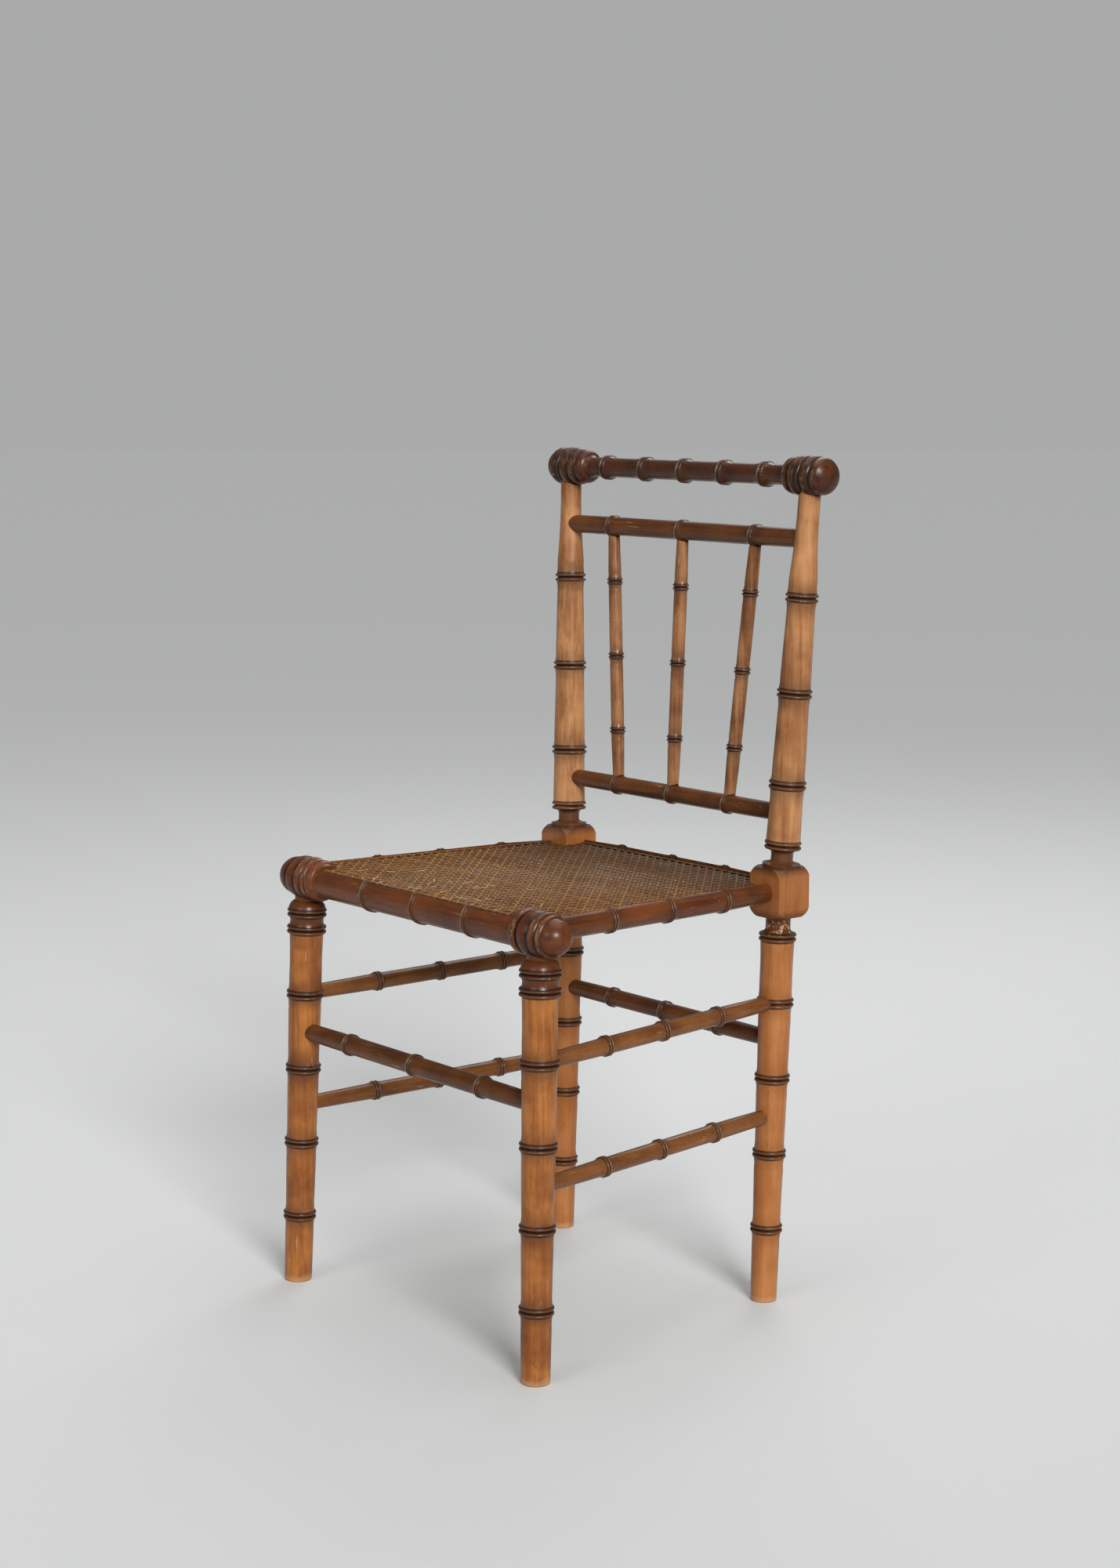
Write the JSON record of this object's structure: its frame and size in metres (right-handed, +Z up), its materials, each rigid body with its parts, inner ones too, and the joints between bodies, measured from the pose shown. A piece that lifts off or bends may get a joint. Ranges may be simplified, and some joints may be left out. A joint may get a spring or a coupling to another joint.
{
  "type": "side chair",
  "caption": "Turned faux bamboo side chair with a cane seat, ringed legs and posts, a spindle back and a crest rail with beehive ends.",
  "frame": {"origin": "middle of the footprint of the whole chair, on the floor", "axes": "+Z up, the sitter faces -Y, +X to the sitter's left when seated"},
  "size_m": [0.461, 0.4061, 0.8796],
  "materials": {
    "amber_wood": "satin",
    "dark_wood": "satin",
    "cane": "matte"
  },
  "bodies": {
    "root": {"back_post_left": "amber_wood", "back_post_right": "amber_wood", "front_leg_left": "amber_wood", "front_leg_right": "amber_wood", "back_spindle_left": "amber_wood", "back_spindle_centre": "amber_wood", "back_spindle_right": "amber_wood", "side_stretcher_upper_left": "amber_wood", "side_stretcher_upper_right": "amber_wood", "side_stretcher_lower_left": "amber_wood", "side_stretcher_lower_right": "amber_wood", "crest_rail": "dark_wood", "upper_back_rail": "dark_wood", "lower_back_rail": "dark_wood", "front_seat_rail": "dark_wood", "side_seat_rail_left": "dark_wood", "side_seat_rail_right": "dark_wood", "rear_seat_rail": "dark_wood", "front_stretcher": "dark_wood", "rear_stretcher": "dark_wood", "cane_seat": "cane", "cane_binder_front": "cane", "cane_binder_rear": "cane", "cane_binder_left": "cane", "cane_binder_right": "cane"}
  },
  "joints": []
}
